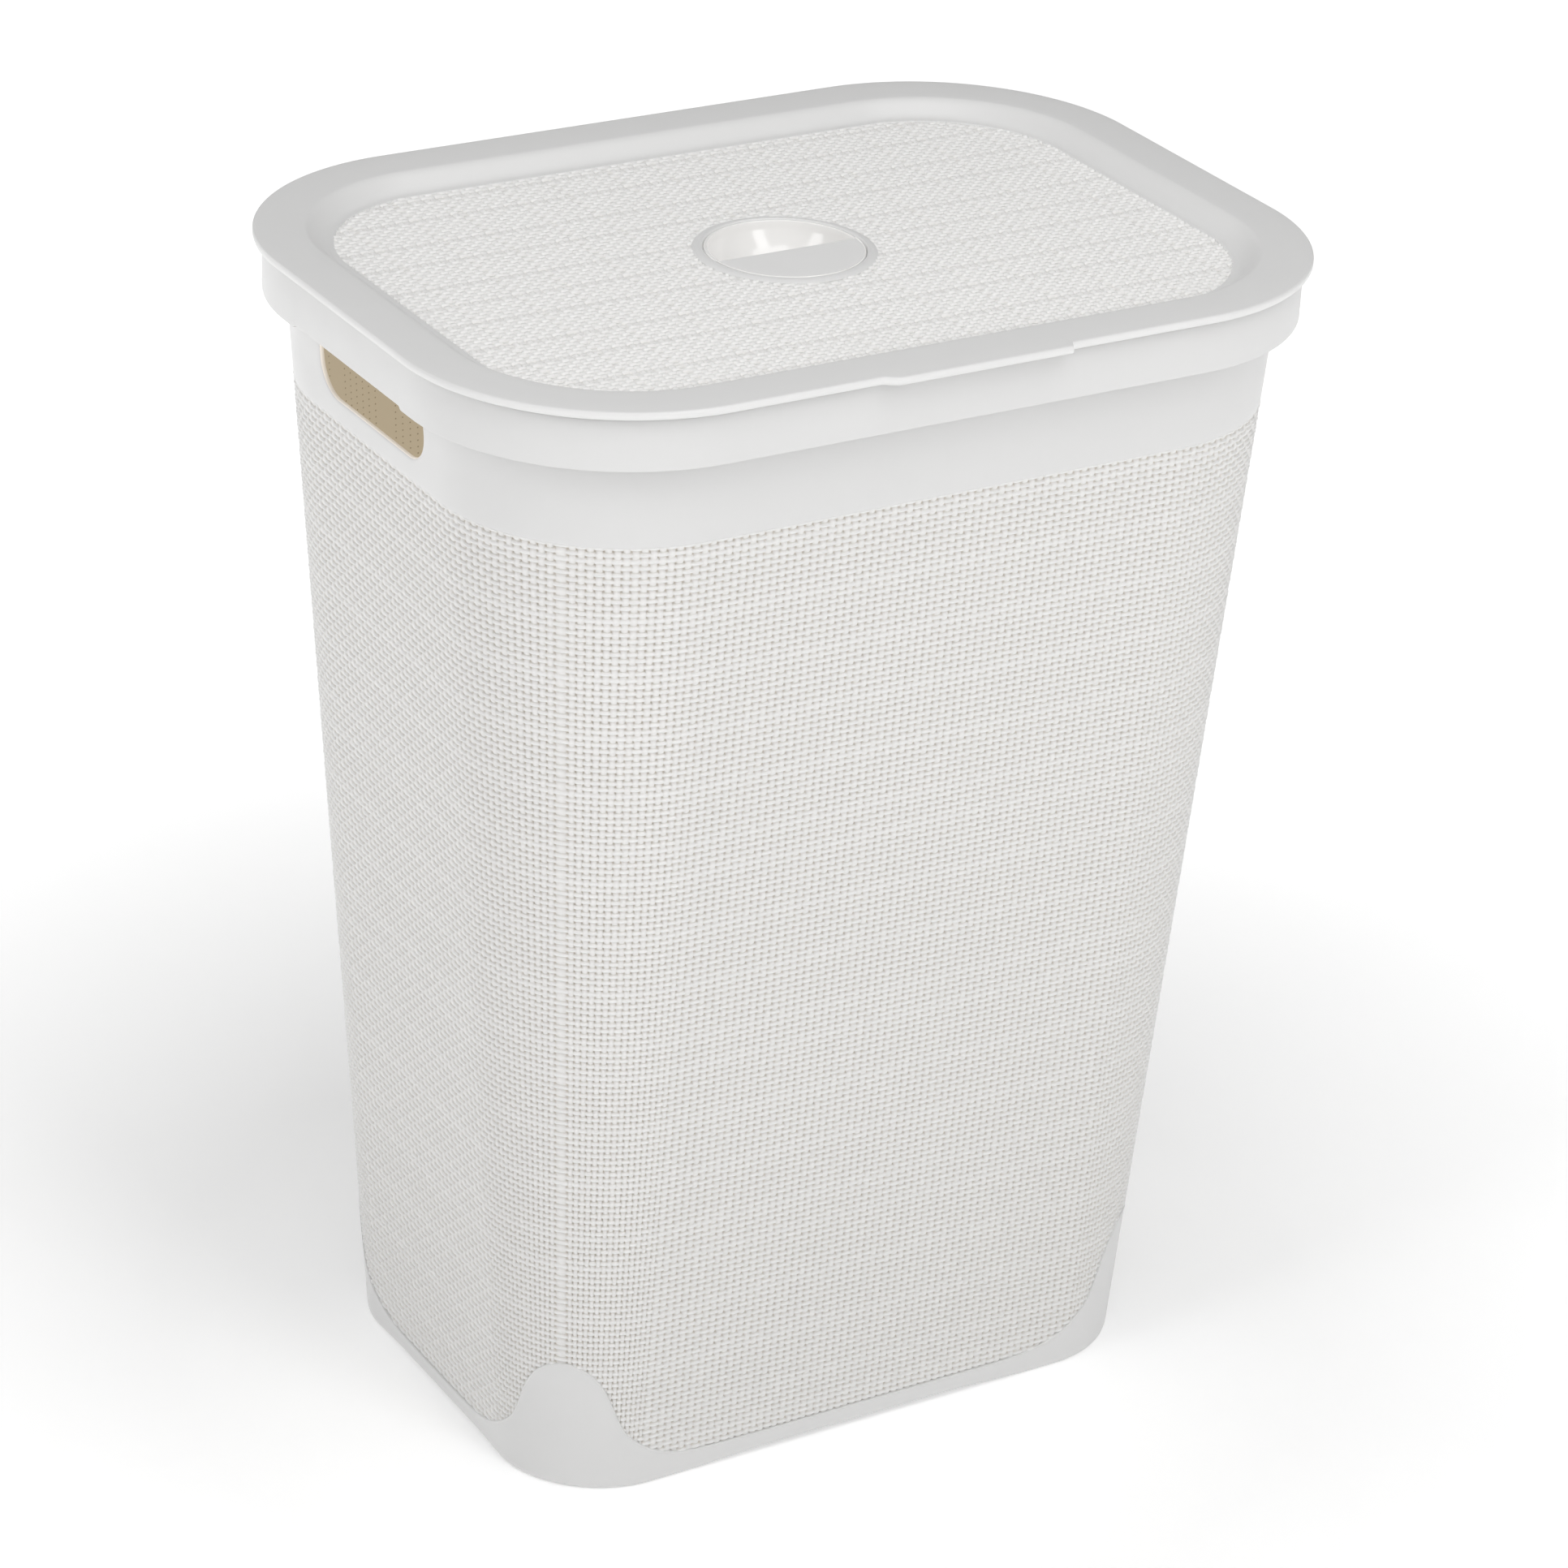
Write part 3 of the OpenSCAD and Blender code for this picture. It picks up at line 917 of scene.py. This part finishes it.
def cut_box(piece, centre, size):
    """Cuts a box out of a piece's mesh."""
    half = np.array(size) / 2
    corners = np.array([[sx, sy, sz] for sz in (-1, 1) for sy in (-1, 1) for sx in (-1, 1)])
    points = corners * half + np.array(centre)
    quads = [(0, 2, 3, 1), (4, 5, 7, 6), (0, 1, 5, 4), (1, 3, 7, 5), (3, 2, 6, 7), (2, 0, 4, 6)]
    cutter = bpy.data.objects.new("cutter", make_mesh("cutter", points, quads))
    bpy.context.collection.objects.link(cutter)
    modifier = piece.modifiers.new("notch", "BOOLEAN")
    modifier.operation = "DIFFERENCE"
    modifier.solver = "EXACT"
    modifier.object = cutter
    graph = bpy.context.evaluated_depsgraph_get()
    cut = bpy.data.meshes.new_from_object(piece.evaluated_get(graph))
    spent = (piece.data, cutter.data)
    piece.modifiers.clear()
    piece.data = cut
    bpy.data.objects.remove(cutter)
    for mesh in spent:
        bpy.data.meshes.remove(mesh)


# ---------------------------------------------------------------- lid

LID_BOTTOM, LID_TOP = 593.6, 598.0
LID_R = 108.5
BAND_R, PANEL_R = 84.5, 72.5
PANEL_Z = 589.5
LID_T = 2.2
LID_WEAVE_R = 70.2
RING_R = 44.3
RING_TOP = PANEL_Z + 1.5
BORE = 39.0
TAB_HALF, TAB_OUT = 48.0, 4.0
# Half widths of the thumb tab's soft left end and its sharp right end
TAB_RAMP, TAB_STEP = 4.0, 1.0
LID_STRAND, LID_ROW = 3.65, 3.3
LID_LIFT, LID_SWELL = 0.28, 1.2


def lid_profile():
    """The lid's band: slope up from the panel, over the band, round the lip and back under."""
    slope = []
    for f in np.linspace(0, 1, 15):
        rise = (1 - math.cos(math.pi * f)) / 2
        slope.append((PANEL_R + (BAND_R - PANEL_R) * f, PANEL_Z + 0.4 + (LID_TOP - PANEL_Z - 0.4) * rise))
    lip = fillet(LID_R - 1.3, LID_TOP - 1.3, 1.3, 90, 0, 7)
    under = [(LID_R, LID_BOTTOM + 1.9), (LID_R - 0.3, LID_BOTTOM + 1.1), (LID_R - 1.1, LID_BOTTOM + 0.4)]
    under += [(LID_R - LID_T, LID_BOTTOM)]
    under += [(LID_R - LID_T, 595.2), (LID_R - LID_T - 0.6, 595.8), (97.6, 595.8), (97.0, 595.2)]
    under += [(97.0, 593.8), (96.8, 593.6), (95.2, 593.6), (95.0, 593.8), (95.0, 595.2), (94.4, 595.8)]
    under += [(rho, z - LID_T - 0.4) for rho, z in slope[::-1]]
    return slope + [(90, LID_TOP), (98, LID_TOP)] + lip + under


def lid_inner_rows(path):
    """Loops of the lid's panel from its edge in to the grip's bore, and back below."""
    edge = rim_loop(path, LID_WEAVE_R, 0)
    angle = np.arctan2(edge[:, 1], edge[:, 0])

    def blend(f, z):
        return (edge * (1 - f) + circle_points(angle, RING_R, 0) * f) + (0, 0, z)

    edges = ((71.2, 589.9), (70.4, 589.85), (LID_WEAVE_R, 589.6), (LID_WEAVE_R, 588.2))
    top = [rim_loop(path, rho, z) for rho, z in edges]
    top += [blend(f, 588.2) for f in (0.15, 0.35, 0.6, 0.85, 1.0)]
    ring = fillet(BORE + 1.2, RING_TOP - 1.2, 1.2, 62, 180, 7)
    slope = [(RING_R, 589.75), (RING_R - 0.35, 590.0), (RING_R - 2.0, 590.62), (RING_R - 3.2, 590.92)]
    bore = [(BORE - 0.2, 587.5), (BORE + 0.1, 587.3), (RING_R, 587.3)]
    top += [circle_points(angle, r, z) for r, z in slope + ring + bore]
    return top + [blend(f, 587.3) for f in (0.85, 0.6, 0.35, 0.15)]


def add_lid_shell(material):
    """The lid's band, slope, panel floor, grip ring and thumb tab."""
    long_side = [0, 15, 30, 38, 43, 44.5, 46, 47, 48, 49, 50.5, 52, 55, 65, 80, 95, 110, CORNER_X]
    path = rim_path(long_side, 40, [CORNER_Y, 50, 35, 20, 8, 0])
    front = (path[:, 3] < -0.999).astype(float)
    tab = TAB_OUT * front * smooth_step(path[:, 0], -TAB_HALF - TAB_RAMP, -TAB_HALF + TAB_RAMP)
    tab = tab * (1 - smooth_step(path[:, 0], TAB_HALF - TAB_STEP, TAB_HALF + TAB_STEP))
    shell = Builder()
    loops = []
    for rho, z in lid_profile():
        reach = smooth_step(rho, 100.5, LID_R - 2)
        loops.append(shell.add(rim_loop(path, rho + tab * reach, z)))
    inner = [shell.add(loop) for loop in lid_inner_rows(path)]
    shell.strip(loops[::-1] + inner + [loops[-1]])
    mesh = shell.mesh("lid_shell")
    add_piece("lid_shell", mesh, "lid_assembly", material, sharp=42, stands_for=("lid",))


def lid_weave_height(u, v):
    """Height of the lid's weave."""
    thick = alternating(THICK_GAPS, 70)

    def wide(i):
        return np.isin(np.abs(i), thick)

    return weave_height(u, v, LID_STRAND, LID_ROW, wide, wide, LID_LIFT, LID_SWELL)


def lid_weave_place(u, v, h):
    """Point of the lid's weave. Rows run back to front."""
    u, v, h = np.broadcast_arrays(np.asarray(u, float), v, h)
    return np.stack([u * LID_STRAND, -v * LID_ROW, PANEL_Z + h], axis=-1)


def add_lid_weave(material):
    """The lid's woven panel, in four quarters, open round the grip."""
    reach_x = (CORNER_X + LID_WEAVE_R) / LID_STRAND
    reach_y = (CORNER_Y + LID_WEAVE_R + 0.6) / LID_ROW
    for side, (first, last) in (("left", (-reach_x, -0.5)), ("right", (-0.5, reach_x))):
        us = weave_samples(first, last, STRAND_STEPS)
        middle = np.abs(us[1:] + us[:-1]) / 2 * LID_STRAND
        over = np.clip(middle - CORNER_X, 0, LID_WEAVE_R)
        outer = (CORNER_Y + np.sqrt(LID_WEAVE_R**2 - over**2) + 0.2) / LID_ROW
        hole = np.sqrt(np.clip((RING_R - 0.6) ** 2 - middle**2, 0, None)) / LID_ROW
        for end in ("front", "back"):
            vs = weave_samples(*((0.0, reach_y) if end == "front" else (-reach_y, 0.0)), ROW_STEPS)
            low, high = (hole, outer) if end == "front" else (-outer, -hole)
            low = np.maximum(np.searchsorted(vs, low, side="right") - 1, 0)
            high = np.minimum(np.searchsorted(vs, high), len(vs) - 1)
            runs = np.stack([low, np.maximum(high, low + 1)], axis=1)
            name = f"lid_weave_{end}_{side}"
            mesh = woven_panel(name, lid_weave_place, us, vs, runs, lid_weave_height, -1.6)
            add_piece(name, mesh, "lid_assembly", material, sharp=62, front=face_count(runs))


# ---------------------------------------------------------------- grip and hinges

CUP_TOP = PANEL_Z + 1.1
CUP_R, CUP_T, CUP_DEPTH = 38.8, 1.8, 22.5
CUP_BOTTOM = CUP_TOP - CUP_DEPTH - CUP_T
CUP_SEAT = 588.1
CUP_SLANT = 14.0
BEAD_AT, BEAD_R = 38.25, 0.45
GRIP_T, GRIP_EDGE = 2.3, 2.0
PLATE_MIDDLE = -14.0
PIN_R, PIN_HALF = 1.5, 14.2
# Bore radius, outer radius and half length of the lid's knuckles and the collar's ears
KNUCKLE, EAR = (1.56, 3.2, 10.0), (1.52, 3.4, 2.0)
EAR_X = 12.4


def cup_profile():
    """The cup from its underside, up outside, over the rim and down inside, with how far each rises."""
    flange_r = CUP_R + 4.7
    outside = fillet(CUP_R - 6, CUP_BOTTOM + 6, 6, -90, 0, 8)
    outside += [(CUP_R, 584.7), (flange_r - 0.5, 584.7), (flange_r, 585.1), (flange_r, 586.8)]
    outside += [(flange_r - 0.3, 587.1), (CUP_R, 587.1)]
    inner_r = CUP_R - CUP_T
    rim = [(CUP_R, CUP_SEAT - 0.5), (CUP_R - 0.12, CUP_SEAT - 0.2), (CUP_R - 0.45, CUP_SEAT)]
    rim += [(inner_r + 0.6, CUP_SEAT), (inner_r + 0.2, CUP_SEAT - 0.12), (inner_r, CUP_SEAT - 0.5)]
    bend = np.radians(np.linspace(CUP_SLANT, 90, 22))
    in_part = (math.cos(bend[0]) - np.cos(bend)) / math.cos(bend[0])
    down_part = (np.sin(bend) - math.sin(bend[0])) / (1 - math.sin(bend[0]))
    deep = CUP_SEAT - 0.7 - CUP_BOTTOM - CUP_T
    inside = list(zip(inner_r - 23 * in_part, CUP_SEAT - 0.7 - deep * down_part))
    rise = [0] * len(outside) + [1] * len(rim) + [0] * len(inside)
    return outside + rim + inside, rise


def add_cup(material):
    """The glossy finger bowl. Its rim is flush with the lid behind, and lower in front for the plate."""
    edge = math.asin((GRIP_EDGE - 0.35) / CUP_R), math.asin((GRIP_EDGE - 0.05) / CUP_R)
    turns = [*edge, *(math.pi - np.array(edge)), *np.linspace(0.06, math.pi - 0.06, 90)]
    turns += list(np.linspace(math.pi, 2 * math.pi, 100))
    angles = -np.sort(np.array(turns))[::-1] % (2 * math.pi)
    behind = 1 - smooth_step(-CUP_R * np.sin(angles), GRIP_EDGE - 0.35, GRIP_EDGE - 0.05)
    bowl = Builder()
    loops = []
    for (r, z), rise in zip(*cup_profile()):
        up = z + rise * behind * (CUP_TOP - CUP_SEAT)
        loops.append(bowl.add(circle_points(angles, r, up)))
    bowl.strip(loops)
    bowl.fan(loops[-1], (0, 0, CUP_BOTTOM + CUP_T))
    bowl.fan(loops[0], (0, 0, CUP_BOTTOM), flip=True)
    mesh = bowl.mesh("cup_skin")
    add_piece("grip_bowl", mesh, "lid_assembly", material, 50, stands_for=("grip_cup",))


def add_bead(material):
    """The bowl's thin raised rim, round the front of the plate."""
    first = math.asin(GRIP_EDGE / BEAD_AT)
    turns = np.linspace(math.pi + first, 2 * math.pi - first, 97)
    z = CUP_TOP - 0.1
    across, up = BEAD_R * np.cos(-full_turn(12)), BEAD_R * np.sin(-full_turn(12))
    bead = Builder()
    loops = []
    for turn in turns:
        r = BEAD_AT + across
        loops.append(bead.add(np.column_stack([r * math.cos(turn), r * math.sin(turn), z + up])))
    bead.strip(loops)
    ends = circle_points(turns[[0, -1]], BEAD_AT, z)
    bead.fan(loops[0], ends[0], flip=True)
    bead.fan(loops[-1], ends[1])
    add_piece("grip_bowl_rim", bead.mesh("bead_skin"), "lid_assembly", material, sharp=50)


def half_moon(inset, z, steps=72):
    """Outline of the grip plate, moved in by inset, at height z."""
    r = CUP_R - inset
    chord = -(GRIP_EDGE + inset)
    first = math.asin(-chord / r)
    angles = np.linspace(math.pi + first, 2 * math.pi - first, steps)
    arc = np.column_stack([r * np.cos(angles), r * np.sin(angles)])
    xs = np.linspace(arc[-1, 0], arc[0, 0], 26)[1:-1]
    line = np.column_stack([xs, np.full(len(xs), chord)])
    outline = np.concatenate([arc, line])
    return np.column_stack([outline, np.full(len(outline), z)])


def add_grip_plate(material):
    """The half-moon plate over the front of the bowl, with a rounded edge."""
    plate = Builder()
    low = CUP_TOP - GRIP_T
    rows = [(0.9, low), (0.35, low + 0.12), (0.06, low + 0.45), (0, low + 0.9), (0, CUP_TOP - 0.9)]
    rows += [(0.07, CUP_TOP - 0.5), (0.27, CUP_TOP - 0.2), (0.6, CUP_TOP - 0.04), (1.1, CUP_TOP)]
    loops = [plate.add(half_moon(inset, z)) for inset, z in rows]
    plate.strip(loops)
    for loop, (inset, z), step in ((loops[0], rows[0], -1), (loops[-1], rows[-1], 1)):
        centre = np.array([0, PLATE_MIDDLE, z])
        reach = half_moon(inset, z) - centre
        rings = [loop] + [plate.add(centre + reach * f) for f in (0.8, 0.5, 0.2)]
        rings = [ring[::step] for ring in rings]
        plate.strip(rings)
        plate.fan(rings[-1], centre)
    mesh = plate.mesh("plate_skin")
    add_piece("half_moon", mesh, "lid_assembly", material, 50, stands_for=("grip_plate",))


def turn_to_x(mesh, place):
    """Turns a mesh made round Z to lie along X, and moves it to place in mm."""
    spin = Matrix.Rotation(math.pi / 2, 4, "Y")
    mesh.transform(Matrix.Translation(Vector(place) * MM) @ spin)


def add_pins(material):
    """The two hinge pins, with chamfered ends."""
    half, r, c = PIN_HALF, PIN_R, 0.4
    profile = [(r - c, -half), (r, c - half), (r, half - c), (r - c, half)]
    for side, label in ((-1, "left"), (1, "right")):
        pin = Builder()
        loops = [pin.add(circle_points(full_turn(40), *place)) for place in profile]
        pin.strip(loops)
        pin.fan(loops[-1], (0, 0, half))
        pin.fan(loops[0], (0, 0, -half), flip=True)
        mesh = pin.mesh("pin_skin")
        turn_to_x(mesh, (side * HINGE_X, HINGE_Y, HINGE_Z))
        node = "hinge_pin_" + label
        add_piece("pin_" + label, mesh, "hamper", material, sharp=50, stands_for=(node,))


def add_knuckles(material):
    """The lid's knuckles and the collar's ears, as tubes round the pins."""
    for side, label in ((-1, "left"), (1, "right")):
        mesh = tube_mesh("knuckle_skin", KNUCKLE, (side * HINGE_X, HINGE_Y, HINGE_Z))
        add_piece("knuckle_" + label, mesh, "lid_assembly", material, sharp=50)
        for end, tag in ((-1, "a"), (1, "b")):
            mesh = tube_mesh("ear_skin", EAR, (side * HINGE_X + end * EAR_X, HINGE_Y, HINGE_Z))
            add_piece(f"ear_{label}_{tag}", mesh, "hamper", material, sharp=50)


def tube_mesh(name, size, place):
    """A tube along X with a chamfer at each end. size is its bore and outer radius and half its length."""
    bore, outer, half = size
    c = 0.3
    profile = [(bore, c - half), (bore + c, -half), (outer - c, -half), (outer, c - half)]
    profile += [(outer, half - c), (outer - c, half), (bore + c, half), (bore, half - c)]
    tube = Builder()
    loops = [tube.add(circle_points(full_turn(48), r, z)) for r, z in profile]
    tube.strip(loops + [loops[0]])
    mesh = tube.mesh(name)
    turn_to_x(mesh, place)
    return mesh


# ---------------------------------------------------------------- floor and scene

FLOOR_HALF = 6000.0


def add_floor(material):
    """A flat, pale floor."""
    corners = np.array([[-1, -1, 0], [1, -1, 0], [1, 1, 0], [-1, 1, 0]]) * FLOOR_HALF
    mesh = make_mesh("floor", corners, [(0, 1, 2, 3)])
    mesh.materials.append(material)
    floor = bpy.data.objects.new("floor", mesh)
    bpy.context.collection.objects.link(floor)


def main():
    """Builds the whole scene."""
    add_camera()
    bpy.context.scene.view_settings.view_transform = "Standard"
    add_world(0.25)
    for name, (place, size, power) in LIGHTS.items():
        add_area_light(name, place, size, power)
    # Painted light: the one white plastic comes in lighter and darker copies, with the weave and the lid
    # lighter than the tub's smooth bands. The pit colours of both weaves are painted shade.
    weave = plastic("weave_plastic", (0.83, 0.827, 0.82), 0.42, 0.2, pit_shade_colour=(0.68, 0.635, 0.57))
    smooth = plastic("smooth_plastic", (0.735, 0.733, 0.728), 0.38, 0.2)
    lid_smooth = plastic("lid_smooth_plastic", (0.80, 0.798, 0.792), 0.38, 0.2)
    # Painted light: the glossy bowl and its rim glow a little.
    gloss = plastic("gloss_plastic", (0.89, 0.88, 0.865), 0.14, 0.03, coat=0.4, painted_glow=0.08)
    lid_weave = plastic("lid_weave_plastic", (0.87, 0.865, 0.856), 0.42, 0.2, pit_shade_colour=(0.80, 0.78, 0.75))
    satin = plastic("satin_plastic", (0.85, 0.847, 0.84), 0.45, 0.3)
    # Painted light: the handle holes' edges are painted a warm peach and glow.
    lip = plastic("hole_rim_glow_plastic", (0.815, 0.755, 0.685), 0.4, 0.1, painted_glow=0.3)
    floor = plastic("studio_floor", (0.92, 0.92, 0.92), 0.6, 0.1)
    add_glow(floor, 0.25, 0.7)
    add_floor(floor)
    # The inside's two warm beige colours are painted light; the vent colour is painted on the vent holes.
    painted_warm, painted_dark_warm, vent = (0.50, 0.445, 0.35), (0.46, 0.41, 0.32), (0.27, 0.22, 0.15)
    inside = glowing_inner_plastic("glowing_inner_plastic", painted_warm, painted_dark_warm, vent, 0.5)
    add_tub_shell(smooth, inside, lip)
    add_tub_weave(weave)
    add_collar(smooth)
    add_lid_shell(lid_smooth)
    add_lid_weave(lid_weave)
    add_cup(gloss)
    add_bead(gloss)
    add_grip_plate(satin)
    add_pins(satin)
    add_knuckles(smooth)


main()
